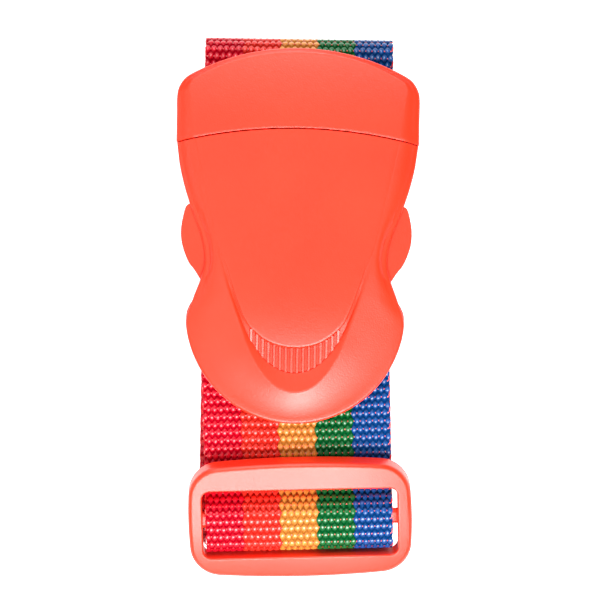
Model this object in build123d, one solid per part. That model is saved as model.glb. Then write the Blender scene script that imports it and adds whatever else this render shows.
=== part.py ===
from build123d import *
import math
import os

# Luggage strap, folded as it is sold: 50 mm webbing in five colour bands, a side-release
# buckle with a capped male half, and a three-bar slider that sets the length.
#
# Frame: +Z up, the bundle lies on z = 0 with the buckle's front facing up. +Y runs along the
# strap towards the male half's cap, +X to the right. The origin is at the bottom centre.

os.makedirs("parts", exist_ok=True)

# ---------------------------------------------------------------- driving dimensions, mm
webbing_width = 50.0
webbing_thickness = 1.25
band_names = ["red", "orange", "yellow", "green", "blue"]
layer_count = 13  # folded layers under the buckle, odd so that the last one ends at the cap
layer_gap = 0.10  # air left between two folded layers
bundle_length = 143.8  # slider's lower edge to the outermost fold of the webbing
fold_spread = 0.8  # how far one fold lies in or out of line with the next

buckle_thickness = 15.0
cap_half_width = 32.1
wall = 2.4
floor_wall = 2.2
running_gap = 0.3  # between parts that move past each other

slider_thickness = 6.5
slider_tilt = 18.0  # degrees, upper edge lifted by the webbing under it
slider_half_length = 16.2
slider_half_width = 29.8
slider_yaw = 2.2  # degrees that the strap's lower run lies askew, turned about the female bar
slider_play = 0.3  # how far the slider sits to one side of the webbing in it

# ------------------------------------------------------------------- worked out from them
band_width = webbing_width / len(band_names)
half_layer = webbing_thickness / 2
layer_pitch = webbing_thickness + layer_gap
stack_top = (layer_count - 1) * layer_pitch + webbing_thickness
buckle_base = stack_top + webbing_thickness + 0.65  # the sewn tail lies in between
buckle_top = buckle_base + buckle_thickness
split_height = buckle_base + 7.6  # joint between the female half's two shells
pocket_roof = buckle_top - 2.6
pocket_floor = buckle_base + floor_wall

tilt_cos = math.cos(math.radians(slider_tilt))
tilt_sin = math.sin(math.radians(slider_tilt))
slider_y = -bundle_length / 2 + slider_half_length * tilt_cos + slider_thickness / 2 * tilt_sin
slider_z = stack_top + 5.15
fold_end = bundle_length / 2 - half_layer  # centreline of the outermost fold
bottom_fold_y = -62.7  # centreline of the webbing that comes down round the stack
stack_fold_end = 69.4  # folds of the stack at the cap's end
stack_fold_start = -59.3  # folds of the stack at the slider's end
male_seam_y = 36.0  # where the webbing's male end starts on the top layer
slider_seam_y = -14.5  # where the doubled, sewn end beside the slider stops
bottom_seam_z = 12.0  # where the adjusting run meets the folded stack

# Female half's outline, right side, from the parting line down to the round end
parting_centre_y = 47.4
parting_radius = 127.0
round_end_radius = 29.0
round_end_centre = -1.5
waist_half_width = 24.1
window_low_y = 5.6  # side windows for the release buttons
window_high_y = 27.6

# Bars that carry webbing
bar_half_thickness = 1.5
bar_edge_radius = 1.45
female_bar_y = -6.7
female_bar_z = buckle_base + 5.8
female_bar_half_depth = 2.5
male_bar_y = 58.0
male_bar_z = buckle_base + 6.95
male_bar_half_depth = 2.2
centre_bar = {"low": -2.6, "high": 1.6, "under": -2.0, "over": 0.4}  # in the slider's own frame
slider_slot = {"low": -10.25, "high": 8.65, "half_width": 26.0, "corner": 2.2}

slot_half_width = webbing_width / 2 + 0.6
wrap_radius = bar_edge_radius + half_layer  # bend of the webbing round a bar
bar_wrap = bar_half_thickness + half_layer + 0.05  # bar's centre to the webbing's centreline

hinge_x = 19.5
hinge_y = 43.0
hinge_radius = 1.8


# ------------------------------------------------------------------------------- helpers
def parting_y(x):
    """Height of the parting line between the two halves at a distance x from the centre."""
    return parting_centre_y - (parting_radius - math.sqrt(parting_radius**2 - x * x))


def save(node, shape):
    """Name one piece and write it to its own file."""
    shape.label = node
    export_step(shape, f"parts/{node}.step")


def block(x_range, y_range, z_range):
    """A box from its three ranges."""
    sizes = [high - low for low, high in (x_range, y_range, z_range)]
    middle = [(high + low) / 2 for low, high in (x_range, y_range, z_range)]
    return Pos(*middle) * Box(*sizes)


def raised(face, low, high):
    """A flat outline made into a solid between two heights."""
    return extrude(Pos(0, 0, low) * face, amount=high - low, dir=(0, 0, 1))


def unit(a, b):
    length = math.dist(a, b)
    return ((b[0] - a[0]) / length, (b[1] - a[1]) / length)


def offset_path(points, distance):
    """The same bent path moved sideways, to its left for a positive distance."""
    moved = []
    for index, point in enumerate(points):
        before = unit(points[max(index - 1, 0)], points[max(index, 1)])
        after = unit(points[min(index, len(points) - 2)], points[min(index + 1, len(points) - 1)])
        normal_x = -before[1] - after[1]
        normal_y = before[0] + after[0]
        size = 1 + before[0] * after[0] + before[1] * after[1]
        moved.append((point[0] + distance * normal_x / size, point[1] + distance * normal_y / size))
    return moved


def turns_left(a, b, c):
    return (b[0] - a[0]) * (c[1] - b[1]) - (b[1] - a[1]) * (c[0] - b[0]) > 0


def ribbon_face(points, radii):
    """Webbing seen edge on: its centreline (y, z) with a bend radius at each inner point."""
    sides = []
    for side in (half_layer, -half_layer):
        side_radii = []
        for index, radius in enumerate(radii):
            left = turns_left(*points[index : index + 3])
            side_radii.append(radius - side if left else radius + side)
        sides.append(FilletPolyline(*offset_path(points, side), radius=side_radii))
    left_side, right_side = sides
    start = Line(left_side @ 0, right_side @ 0)
    end = Line(left_side @ 1, right_side @ 1)
    return Plane.YZ * make_face([left_side, right_side, start, end])


def askew(shape):
    """A piece of the strap's lower run, turned a little about the female half's bar."""
    return Pos(0, female_bar_y) * Rot(Z=slider_yaw) * Pos(0, -female_bar_y) * shape


def webbing(name, points, radii, turned=False):
    """One length of webbing as five solids, one for each band of warp yarns."""
    face = ribbon_face(points, radii)
    for number, colour in enumerate(band_names):
        left = -webbing_width / 2 + number * band_width
        band = extrude(Pos(left, 0, 0) * face, amount=band_width, dir=(1, 0, 0))
        save(f"{name}_{colour}", askew(band) if turned else band)


def slider_point(along, out):
    """A point of the slider's own tilted frame, as (y, z)."""
    y = slider_y + along * tilt_cos - out * tilt_sin
    z = slider_z + along * tilt_sin + out * tilt_cos
    return (y, z)


# ------------------------------------------------------------------------------- webbing
def layer_z(number):
    """Height of the centreline of one folded layer, counted from the bottom."""
    return half_layer + number * layer_pitch


def fold_y(number):
    """Where the fold above a layer lies, a little uneven as folded by hand."""
    uneven = fold_spread * math.sin(2.4 * number)
    return stack_fold_end + uneven if number % 2 == 0 else stack_fold_start - uneven


def folded_stack():
    """Layers zigzag from the fold round the slider's end up to the top layer."""
    fold_radius = 0.49 * layer_pitch
    points = [(bottom_fold_y, bottom_seam_z), (bottom_fold_y, layer_z(0))]
    radii = [2.0]
    for number in range(layer_count - 1):
        end = fold_y(number)
        points += [(end, layer_z(number)), (end, layer_z(number + 1))]
        radii += [fold_radius, fold_radius]
    points.append((male_seam_y, layer_z(layer_count - 1)))
    webbing("webbing_stack", points, radii)


# The run from the female half's bar to the slider, over its centre bar and down the end
run_over_centre_bar = centre_bar["over"] + half_layer + 0.05 + layer_pitch
loop_slack = 1.0  # air that lets the loop sit askew on its bar
adjusting_run = [
    (female_bar_y + female_bar_half_depth + half_layer + loop_slack, female_bar_z + bar_wrap),
    (female_bar_y - female_bar_half_depth, female_bar_z + bar_wrap),
    (-38.0, slider_z + 0.95),
    (-46.5, slider_z - 1.65),
    slider_point(2.4, run_over_centre_bar),
    (bottom_fold_y - 2.2, slider_z - 0.65),
    (bottom_fold_y, slider_z - 6.0),
]
adjusting_run_radii = [10.0, 8.0, 2.5, 3.0, 3.0, 3.0]
back_run_start = (adjusting_run[0][0], female_bar_z - bar_wrap)


def back_run_z(y):
    """Height of the hidden layer between the female half's bar and the slider."""
    under_bar = offset_path(adjusting_run, 2 * layer_pitch)[2]
    share = (y - back_run_start[0]) / (under_bar[0] - back_run_start[0])
    return back_run_start[1] + share * (under_bar[1] - back_run_start[1])


def adjusting_loop():
    """From the sewn end round the female half's bar, down to the slider and the first fold."""
    points = [(slider_seam_y, back_run_z(slider_seam_y)), back_run_start]
    points += adjusting_run
    points.append((bottom_fold_y, bottom_seam_z))
    radii = [wrap_radius, wrap_radius] + adjusting_run_radii
    webbing("webbing_adjusting_loop", points, radii, turned=True)


def slider_end():
    """The doubled end that is sewn round the slider's centre bar."""
    tail_under_bar = offset_path(adjusting_run, layer_pitch)
    back_under_bar = offset_path(adjusting_run, 2 * layer_pitch)
    wrap_out = half_layer + 0.05
    end_along = centre_bar["low"] - wrap_out - 0.3
    over = centre_bar["over"] + wrap_out
    under = centre_bar["under"] - wrap_out
    tail_start = (slider_seam_y - 1.5, back_run_z(slider_seam_y - 1.5) + layer_pitch)
    points = [
        tail_start,
        tail_under_bar[2],
        tail_under_bar[3],
        tail_under_bar[4],
        slider_point(end_along, over),
        slider_point(end_along, under),
        slider_point(1.7, under),
        back_under_bar[3],
        back_under_bar[2],
        (slider_seam_y - 0.05, back_run_z(slider_seam_y)),
    ]
    bend = 0.49 * (over - under)
    radii = [8.0, 3.0, 1.2, bend, bend, 1.5, 3.0, 8.0]
    webbing("webbing_slider_end", points, radii, turned=True)


def male_end():
    """The doubled end sewn round the male half's bar, with the fold that shows at the cap."""
    top_layer = layer_z(layer_count - 1)
    tail = top_layer + layer_pitch
    upper = male_bar_z + bar_wrap
    lower = male_bar_z - bar_wrap
    wrap_y = male_bar_y - male_bar_half_depth - half_layer - 0.05
    inner_fold = fold_end - 3.0
    points = [
        (male_seam_y + 0.05, top_layer),
        (fold_end, top_layer),
        (fold_end, upper),
        (wrap_y, upper),
        (wrap_y, lower),
        (inner_fold, lower),
        (inner_fold, tail),
        (male_seam_y + 4.0, tail),
    ]
    outer = 0.49 * (upper - top_layer)
    inner = 0.49 * (lower - tail)
    webbing("webbing_male_end", points, [outer, outer, wrap_radius, wrap_radius, inner, inner])


def stitches(node, centre_y, length_y, surface_z, slope, turned=False):
    """A box stitch with a cross: short threads that lie on the doubled webbing."""
    half_x = webbing_width / 2 - 4.0
    half_y = length_y / 2
    corners = [(-half_x, -half_y), (half_x, -half_y), (half_x, half_y), (-half_x, half_y)]
    seams = [(corners[index], corners[(index + 1) % 4]) for index in range(4)]
    seams += [(corners[0], corners[2]), (corners[1], corners[3])]
    step = 2.8
    threads = []
    for seam_number, (start, end) in enumerate(seams):
        crosses = seam_number >= 4
        count = int(math.dist(start, end) / step)
        turn = math.degrees(math.atan2(end[1] - start[1], end[0] - start[0]))
        for number in range(1, count):
            share = number / count
            x = start[0] + share * (end[0] - start[0])
            y = start[1] + share * (end[1] - start[1])
            if crosses and abs(x) < step:
                continue
            height = surface_z + y * slope + 0.14
            tilt = math.degrees(math.atan(slope))
            place = Pos(x, centre_y + y, height) * Rot(X=tilt) * Rot(Z=turn)
            threads.append(place * Box(0.72 * step, 0.45, 0.2))
    save(node, Compound(children=[askew(thread) if turned else thread for thread in threads]))


# -------------------------------------------------------------------------------- buckle
def female_outline(inset=0.0):
    """Shoulders at the parting line, a waist for the thumbs and a round end."""
    half_width = cap_half_width - 0.2 - inset
    end_radius = round_end_radius - inset
    start = (half_width, parting_y(half_width))
    drop = 2.5
    join = (math.sqrt(end_radius**2 - drop**2), round_end_centre - drop)
    shape_points = [
        start,
        (30.9 - inset, 36.5),
        (28.8 - inset, 28.8),
        (waist_half_width + 0.9 - inset, 18.5),
        (waist_half_width - inset, 12.2),
        (25.1 - inset, 7.6),
        (27.1 - inset, 2.2),
        join,
    ]
    right = Spline(*shape_points, tangents=[(-0.05, -1), (-0.09, -1)])
    left = mirror(right, about=Plane.YZ)
    low = ThreePointArc(join, (0, round_end_centre - end_radius), (-join[0], join[1]))
    top = ThreePointArc((-start[0], start[1]), (0, parting_centre_y), start)
    return make_face([right, left, low, top])


def cap_outline():
    """The male half's cap: straight sides, a broad arc at the top, rounded corners."""
    low_y = parting_y(cap_half_width) + running_gap
    top_radius = 59.6
    top_centre = 68.8 - top_radius
    high_y = top_centre + math.sqrt(top_radius**2 - cap_half_width**2)
    low_left, low_right = (-cap_half_width, low_y), (cap_half_width, low_y)
    high_left, high_right = (-cap_half_width, high_y), (cap_half_width, high_y)
    low = ThreePointArc(low_left, (0, parting_centre_y + running_gap), low_right)
    top = ThreePointArc(high_left, (0, top_centre + top_radius), high_right)
    face = make_face([low, Line(low_right, high_right), top, Line(high_left, low_left)])
    return fillet(face.vertices().group_by(Axis.Y)[-1], radius=7.0)


def pocket():
    """Hollow of the female half, behind the mouth."""
    hollow = raised(female_outline(wall), pocket_floor, pocket_roof)
    behind = block((-40, 40), (-40, window_low_y - 0.8), (pocket_floor - 1, pocket_roof + 1))
    return hollow - behind


def mouth(floor):
    """Open end of a half at the parting line."""
    half = cap_half_width - wall - 0.4
    return block((-half, half), (40, 50), (floor, pocket_roof))


def side_windows():
    """Openings in both flanks through which the release buttons stand out."""
    window = block((20, 40), (window_low_y, window_high_y), (pocket_floor, pocket_roof))
    return window + mirror(window, about=Plane.YZ)


def webbing_slot():
    """The way that the webbing takes from the round end to the bar and back."""
    roof = female_bar_z + bar_wrap + half_layer + 0.35
    slot = block((-slot_half_width, slot_half_width), (-40, 1.8), (pocket_floor, roof))
    open_back = block((-40, 40), (-40, -14.0), (buckle_base - 1, roof))
    return slot + open_back


def front_relief():
    """The shield-shaped pad's lip with its V-shaped recess, cut into the front."""
    recess_depth = 0.9
    outer = [(19.4, 10.0), (17.6, 4.6), (14.3, -4.8), (10.6, -14.4), (5.0, -20.2), (0, -22.3)]
    outer_right = Spline(*outer, tangents=[(-0.3, -1), (-1, 0)])
    outer_left = mirror(outer_right, about=Plane.YZ)
    inner = [(18.4, 10.0), (15.6, 2.3), (13.3, -3.4), (7.2, -8.8), (0, -10.3)]
    inner_right = Spline(*inner, tangents=[(-0.25, -1), (-1, 0)])
    inner_left = mirror(inner_right, about=Plane.YZ)
    ends = [Line(outer[0], inner[0]), Line((-outer[0][0], outer[0][1]), (-inner[0][0], inner[0][1]))]
    ring = make_face([outer_right, outer_left, inner_right, inner_left] + ends)
    return raised(ring, buckle_top - recess_depth, buckle_top + 1)


def front_ribs():
    """Fine upright ribs in the recess, for the thumb."""
    rib_count = 16
    rib_pitch = 1.53
    rib_half_width = 0.38
    rib_height = 0.45
    floor = buckle_top - 0.9
    ribs = []
    for number in range(rib_count):
        x = (number - (rib_count - 1) / 2) * rib_pitch
        upper = -10.6 + 0.028 * x * x
        lower = -16.8 + 0.055 * x * x
        sides = (x - rib_half_width, x + rib_half_width)
        ribs.append(block(sides, (lower, upper), (floor - 0.1, floor + rib_height)))
    return ribs


def female_front_shell():
    """Front cover of the female half: the shield face, the flanks' upper half, the round end."""
    shell = raised(female_outline(), split_height, buckle_top)
    top_edges = shell.edges().filter_by(lambda edge: abs(edge.center().Z - buckle_top) < 0.01)
    rim = top_edges.filter_by(lambda edge: edge.center().Y < 30)
    shell = fillet(rim, radius=3.0)
    for hollow in (pocket(), mouth(pocket_floor), side_windows(), webbing_slot(), front_relief()):
        shell -= hollow
    for rib in front_ribs():
        shell += rib
    save("female_front_shell", shell)


def female_rear_shell():
    """Rear cover of the female half, with the webbing bar between its two wings."""
    shell = raised(female_outline(), buckle_base, split_height)
    rim = shell.edges().filter_by(lambda edge: abs(edge.center().Z - buckle_base) < 0.01)
    shell = fillet(rim.filter_by(lambda edge: edge.center().Y < 30), radius=1.0)
    for hollow in (pocket(), mouth(pocket_floor), side_windows(), webbing_slot()):
        shell -= hollow
    bar_y = (female_bar_y - female_bar_half_depth, female_bar_y + female_bar_half_depth)
    bar_z = (female_bar_z - bar_half_thickness, female_bar_z + bar_half_thickness)
    bar = block((-slot_half_width - 0.8, slot_half_width + 0.8), bar_y, bar_z)
    bar = fillet(bar.edges().filter_by(Axis.X), radius=bar_edge_radius)
    save("female_rear_shell", shell + bar)


def male_cap():
    """Cover of the male half, open below, with a slot for the webbing at its far end."""
    cap = raised(cap_outline(), buckle_base, buckle_top)
    rim = cap.edges().filter_by(lambda edge: abs(edge.center().Z - buckle_top) < 0.01)
    cap = fillet(rim.filter_by(lambda edge: edge.center().Y > 50), radius=2.0)
    inside = offset(cap_outline(), amount=-wall)
    hollow = raised(inside, buckle_base - 1, pocket_roof)
    exit_slot = block(
        (-slot_half_width - 0.2, slot_half_width + 0.2), (50, 75), (buckle_base - 1, male_bar_z + 3.9)
    )
    save("male_cap", cap - hollow - mouth(buckle_base - 1) - exit_slot)


def male_frame():
    """Frame inside the cap: side rails, webbing bar, cross plate and the guide tongue."""
    gap = 0.15
    rail_in, rail_out = slot_half_width + 0.2, cap_half_width - wall - 0.4 - gap
    rail_z = (buckle_base + 0.4, pocket_roof - gap)
    inside_cap = raised(offset(cap_outline(), amount=-wall - gap), buckle_base, buckle_top)
    rail = block((rail_in, rail_out), (46.0, 56.0 + male_bar_half_depth), rail_z) & inside_cap
    bar = block(
        (-rail_in - 0.5, rail_in + 0.5),
        (male_bar_y - male_bar_half_depth, male_bar_y + male_bar_half_depth),
        (male_bar_z - bar_half_thickness, male_bar_z + bar_half_thickness),
    )
    bar = fillet(bar.edges().filter_by(Axis.X), radius=bar_edge_radius) & inside_cap
    inner_z = (pocket_floor + running_gap, pocket_roof - running_gap)
    plate = block((-27.5, 27.5), (42.2, 50.5), inner_z)
    tongue = block((-10.5, 10.5), (9.0, 43.0), (pocket_floor + 2.2, pocket_roof - 2.2))
    tongue = fillet(tongue.edges().filter_by(Axis.Z).group_by(Axis.Y)[0], radius=5.0)
    lightening = block((-5.5, 5.5), (16.0, 38.0), (pocket_floor, pocket_roof))
    frame = plate + rail + mirror(rail, about=Plane.YZ) + bar + tongue - lightening
    for side in (-1, 1):
        socket = Pos(side * hinge_x, hinge_y, 0) * Cylinder(hinge_radius + 0.06, 200)
        relief = block((hinge_x - 3.4, hinge_x + 3.4), (40, hinge_y), inner_z)
        relief = relief if side > 0 else mirror(relief, about=Plane.YZ)
        frame = frame - socket - relief
    save("male_frame", frame)


def latch_arm():
    """Right flexing arm: root boss, beam and the release button with its catch shoulder."""
    low, high = pocket_floor + 0.7, pocket_roof - 0.7
    boss = make_face(Circle(hinge_radius).edges())
    root = raised(Pos(hinge_x, hinge_y) * boss, low, high)
    beam_outer = [(21.1, 42.4), (23.8, 34.0), (24.8, 27.3)]
    beam_inner = [(21.9, 24.0), (21.2, 33.0), (18.0, 42.4)]
    beam = make_face(
        [
            Spline(*beam_outer),
            Line(beam_outer[-1], beam_inner[0]),
            Spline(*beam_inner),
            Line(beam_inner[-1], beam_outer[0]),
        ]
    )
    shoulder = (28.4, window_high_y - 0.3)
    button_outer = [shoulder, (29.7, 25.3), (30.5, 20.8), (29.9, 15.6), (28.2, 11.6), (25.1, 7.2)]
    button_inner = [(21.0, 8.0), (22.4, 16.0), (21.9, 24.0), (21.9, window_high_y - 0.3)]
    button = make_face(
        [
            Spline(*button_outer, tangents=[(1, -0.35), (-0.6, -1)]),
            Spline(button_outer[-1], (23.2, 6.3), button_inner[0]),
            Spline(*button_inner),
            Line(button_inner[-1], shoulder),
        ]
    )
    return raised(beam, low, high) + root + raised(button, low, high)


def latch_arms():
    right = latch_arm()
    save("latch_arm_right", right)
    save("latch_arm_left", mirror(right, about=Plane.YZ))


# -------------------------------------------------------------------------------- slider
def slider_frame():
    """Three-bar slider: bowed frame with a low centre bar, lying tilted on the webbing."""
    half_x, half_y = slider_half_width, slider_half_length
    corner_x, corner_y = half_x - 1.0, half_y - 1.5
    bowed = [
        ThreePointArc((-corner_x, corner_y), (0, half_y), (corner_x, corner_y)),
        ThreePointArc((corner_x, corner_y), (half_x, 0), (corner_x, -corner_y)),
        ThreePointArc((corner_x, -corner_y), (0, -half_y), (-corner_x, -corner_y)),
        ThreePointArc((-corner_x, -corner_y), (-half_x, 0), (-corner_x, corner_y)),
    ]
    outline = make_face(bowed)
    outline = fillet(outline.vertices(), radius=8.5)
    frame = raised(outline, -slider_thickness / 2, slider_thickness / 2)
    rims = frame.edges().filter_by(lambda edge: abs(abs(edge.center().Z) - slider_thickness / 2) < 0.01)
    frame = fillet(rims, radius=1.2)
    slot_half = slider_slot["half_width"]
    slot_middle = (slider_slot["low"] + slider_slot["high"]) / 2
    slot_length = slider_slot["high"] - slider_slot["low"]
    slot = Pos(0, slot_middle) * RectangleRounded(2 * slot_half, slot_length, slider_slot["corner"])
    frame = frame - raised(slot, -slider_thickness, slider_thickness)
    slot_rims = frame.edges().filter_by(
        lambda edge: abs(abs(edge.center().Z) - slider_thickness / 2) < 0.01
        and abs(edge.center().X) < slot_half + 0.1
        and slider_slot["low"] - 0.1 < edge.center().Y < slider_slot["high"] + 0.1
    )
    frame = fillet(slot_rims, radius=0.5)
    bar = block(
        (-slot_half - 0.6, slot_half + 0.6),
        (centre_bar["low"], centre_bar["high"]),
        (centre_bar["under"], centre_bar["over"]),
    )
    bar = fillet(bar.edges().filter_by(Axis.X), radius=1.1)
    slider = Pos(slider_play, slider_y, slider_z) * Rot(X=slider_tilt) * (frame + bar)
    save("slider_frame", askew(slider))


# ----------------------------------------------------------------------------- all pieces
folded_stack()
adjusting_loop()
slider_end()
male_end()
male_tail_top = layer_z(layer_count - 1) + layer_pitch + half_layer
stitches("male_end_stitches", 52.0, 14.0, male_tail_top, 0.0)
slider_stitch_y = -24.0
slider_slope = back_run_z(1.0) - back_run_z(0.0)
slider_tail_top = back_run_z(slider_stitch_y) + layer_pitch + half_layer + 0.02
stitches("slider_end_stitches", slider_stitch_y, 11.0, slider_tail_top, slider_slope, turned=True)
female_front_shell()
female_rear_shell()
male_cap()
male_frame()
latch_arms()
slider_frame()
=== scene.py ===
"""Looks of a folded luggage strap: woven webbing in five colour bands, a side-release buckle
with a capped male half, and a three-bar slider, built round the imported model's frame.

Shapes are worked out in millimetres in the row frame and scaled to metres as meshes are made.
"""

import math

import bmesh
import bpy
import numpy as np
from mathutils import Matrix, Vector


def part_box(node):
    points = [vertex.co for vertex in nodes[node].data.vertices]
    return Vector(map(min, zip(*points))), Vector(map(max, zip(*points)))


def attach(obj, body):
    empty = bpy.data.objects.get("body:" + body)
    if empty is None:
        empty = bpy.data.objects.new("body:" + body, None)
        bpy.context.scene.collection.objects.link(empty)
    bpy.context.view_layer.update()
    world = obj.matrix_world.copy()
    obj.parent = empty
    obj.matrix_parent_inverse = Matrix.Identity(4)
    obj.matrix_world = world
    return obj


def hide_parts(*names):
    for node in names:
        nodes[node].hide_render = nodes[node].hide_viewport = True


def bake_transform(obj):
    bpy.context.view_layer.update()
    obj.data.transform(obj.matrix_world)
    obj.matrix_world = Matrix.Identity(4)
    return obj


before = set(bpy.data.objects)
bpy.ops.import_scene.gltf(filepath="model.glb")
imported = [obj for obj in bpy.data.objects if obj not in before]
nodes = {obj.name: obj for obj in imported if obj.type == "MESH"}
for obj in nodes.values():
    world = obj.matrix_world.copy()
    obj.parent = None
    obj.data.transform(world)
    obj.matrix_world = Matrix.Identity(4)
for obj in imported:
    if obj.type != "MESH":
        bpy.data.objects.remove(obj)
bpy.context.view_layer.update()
mm = 0.001
colours = ["red", "orange", "yellow", "green", "blue"]
random = np.random.default_rng(7)


def low(node):
    """Lowest corner of a CAD node, in mm."""
    return np.array(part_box(node)[0]) / mm


def high(node):
    """Highest corner of a CAD node, in mm."""
    return np.array(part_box(node)[1]) / mm


# ------------------------------------------------------------------ sizes read from the frame
webbing_width = high("webbing_male_end_blue")[0] - low("webbing_male_end_red")[0]
webbing_thickness = 1.25
half_layer = webbing_thickness / 2
layer_count = 13
stack_top = high("webbing_stack_red")[2]
layer_pitch = (stack_top - webbing_thickness) / (layer_count - 1)
buckle_base = low("male_cap")[2]
buckle_top = high("male_cap")[2]
cap_half_width = high("male_cap")[0]
cap_top_y = high("male_cap")[1]
round_end_y = low("female_front_shell")[1]
split_height = high("female_rear_shell")[2]
fold_end = high("webbing_male_end_red")[1] - half_layer
bottom_fold_y = low("webbing_stack_red")[1] + half_layer
slider_middle = (low("slider_frame") + high("slider_frame")) / 2

# ------------------------------------------------------ the buckle's and slider's inner sizes
wall = 2.4
pocket_roof = buckle_top - 2.6
slot_roof = buckle_base + 8.95
slot_half_width = webbing_width / 2 + 0.6
window_low_y = 5.6
window_high_y = 27.6
parting_centre_y = 47.4
parting_radius = 127.0
parting_gap = 0.35
wrap_gap = 0.05  # air between a bar and the webbing round it
bar_half = 1.5
wrap_radius = 1.45 + half_layer
bar_wrap = bar_half + half_layer + wrap_gap
female_bar = (-6.7, buckle_base + 5.8)
female_bar_depth = 2.5
male_bar = (58.0, buckle_base + 6.95)
male_bar_depth = 2.2
slider_tilt = math.radians(18.0)
centre_bar_top = 0.4  # in the slider's own tilted frame, as the next two
centre_bar_bottom = -2.0
centre_bar_end = -2.6
male_seam_y = 36.0
slider_seam_y = -14.5

# The strap's lower run lies a little askew, turned about the female half's bar
run_yaw = math.radians(2.2)
yaw_pivot_y = female_bar[0]
slider_reach = math.hypot(slider_middle[0], slider_middle[1] - yaw_pivot_y)
slider_y = yaw_pivot_y - slider_reach
slider_z = slider_middle[2]

# ---------------------------------------------------------------------------- woven structure
warp_count = 60
selvage = 0.35  # what the outermost yarns leave for the weft's loops
warp_pitch = (webbing_width - 2 * selvage) / warp_count
row_pitch = 2.125  # weft rows along the strap
crest_height = 0.40  # how far a warp yarn's centre rides out over a weft row
crest_steepness = 1.5  # how quickly it climbs on to the row
yarn_twist = 0.35  # radians of twist for each mm
warp_half_height = 0.22
weft_half_width = 0.20
weft_half_height = 0.14
weft_lift = 0.10  # how far the weft gives way to the warps
uneven_phase = 0.12 * random.standard_normal(warp_count)
uneven_x = 0.02 * random.standard_normal(warp_count)


# ================================================================================== materials
def new_material(name):
    """An empty node material with its shader, ready for its textures."""
    material = bpy.data.materials.new(name)
    material.use_nodes = True
    tree = material.node_tree
    return material, tree, tree.nodes["Principled BSDF"]


def noise(tree, vector, scale, detail=3.0, roughness=0.55):
    node = tree.nodes.new("ShaderNodeTexNoise")
    node.inputs["Scale"].default_value = scale
    node.inputs["Detail"].default_value = detail
    node.inputs["Roughness"].default_value = roughness
    tree.links.new(vector, node.inputs["Vector"])
    return node.outputs["Fac"]


def ramp(tree, value, stops):
    """Colours along a value: stops are (place, colour)."""
    node = tree.nodes.new("ShaderNodeValToRGB")
    elements = node.color_ramp.elements
    while len(elements) < len(stops):
        elements.new(0.5)
    for element, (place, colour) in zip(elements, stops):
        element.position = place
        element.color = (*colour, 1.0)
    tree.links.new(value, node.inputs["Fac"])
    return node.outputs["Color"]


def spread(tree, value, low_value, high_value):
    """A 0 to 1 value mapped onto another range."""
    node = tree.nodes.new("ShaderNodeMapRange")
    node.inputs["To Min"].default_value = low_value
    node.inputs["To Max"].default_value = high_value
    tree.links.new(value, node.inputs["Value"])
    return node.outputs["Result"]


def bump(tree, height, distance, strength, under=None):
    node = tree.nodes.new("ShaderNodeBump")
    node.inputs["Distance"].default_value = distance
    node.inputs["Strength"].default_value = strength
    tree.links.new(height, node.inputs["Height"])
    if under is not None:
        tree.links.new(under, node.inputs["Normal"])
    return node.outputs["Normal"]


def place_in_object(tree):
    return tree.nodes.new("ShaderNodeTexCoord").outputs["Object"]


def coral_plastic(name="coral_plastic", crowns=()):
    """Moulded plastic with a satin, finely grained skin. A crown is (axis, from, to, fall), in
    mm: how the face rolls away between two places."""
    material, tree, shader = new_material(name)
    place = place_in_object(tree)
    cloudy = noise(tree, place, 45.0)
    grain = noise(tree, place, 2600.0, detail=2.0)
    colour = ramp(tree, cloudy, [(0.25, (0.92, 0.029, 0.007)), (0.75, (0.96, 0.036, 0.010))])
    tree.links.new(colour, shader.inputs["Base Color"])
    tree.links.new(spread(tree, grain, 0.31, 0.45), shader.inputs["Roughness"])
    shader.inputs["Specular IOR Level"].default_value = 0.5
    rolled = None
    for axis, start, stop, fall in crowns:
        parts = tree.nodes.new("ShaderNodeSeparateXYZ")
        tree.links.new(place, parts.inputs["Vector"])
        share = tree.nodes.new("ShaderNodeMapRange")
        share.inputs["From Min"].default_value = start * mm
        share.inputs["From Max"].default_value = stop * mm
        tree.links.new(parts.outputs[axis], share.inputs["Value"])
        square = tree.nodes.new("ShaderNodeMath")
        square.operation = "POWER"
        square.inputs[1].default_value = 2.0
        tree.links.new(share.outputs["Result"], square.inputs[0])
        rolled = bump(tree, square.outputs["Value"], -fall * mm, 1.0, rolled)
    tree.links.new(bump(tree, grain, 0.00008, 0.6, rolled), shader.inputs["Normal"])
    return material


def yarn(name, deep, bright):
    """Twisted filament yarn: streaks along the yarn from its own fibre coordinates, and painted shade where
    it dives between its neighbours: darker colour and no specular reflection there."""
    material, tree, shader = new_material(name)
    fibre = tree.nodes.new("ShaderNodeAttribute")
    fibre.attribute_name = "fibre"
    streaks = noise(tree, fibre.outputs["Vector"], 2.2, detail=2.0)
    colour = ramp(tree, streaks, [(0.30, deep), (0.70, bright)])
    # painted shade: the colour is darkened to half where the yarn dives between its neighbours
    shade = tree.nodes.new("ShaderNodeAttribute")
    shade.attribute_name = "shade"
    shade_darkening = tree.nodes.new("ShaderNodeVectorMath")
    shade_darkening.operation = "SCALE"
    tree.links.new(colour, shade_darkening.inputs[0])
    tree.links.new(spread(tree, shade.outputs["Fac"], 1.0, 0.5), shade_darkening.inputs["Scale"])
    tree.links.new(shade_darkening.outputs["Vector"], shader.inputs["Base Color"])
    tree.links.new(spread(tree, streaks, 0.22, 0.34), shader.inputs["Roughness"])
    tree.links.new(bump(tree, streaks, 0.00006, 0.35), shader.inputs["Normal"])
    # painted shade: the specular reflection fades out where the yarn dives, as if shadowed
    tree.links.new(spread(tree, shade.outputs["Fac"], 0.75, 0.0), shader.inputs["Specular IOR Level"])
    return material


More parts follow.
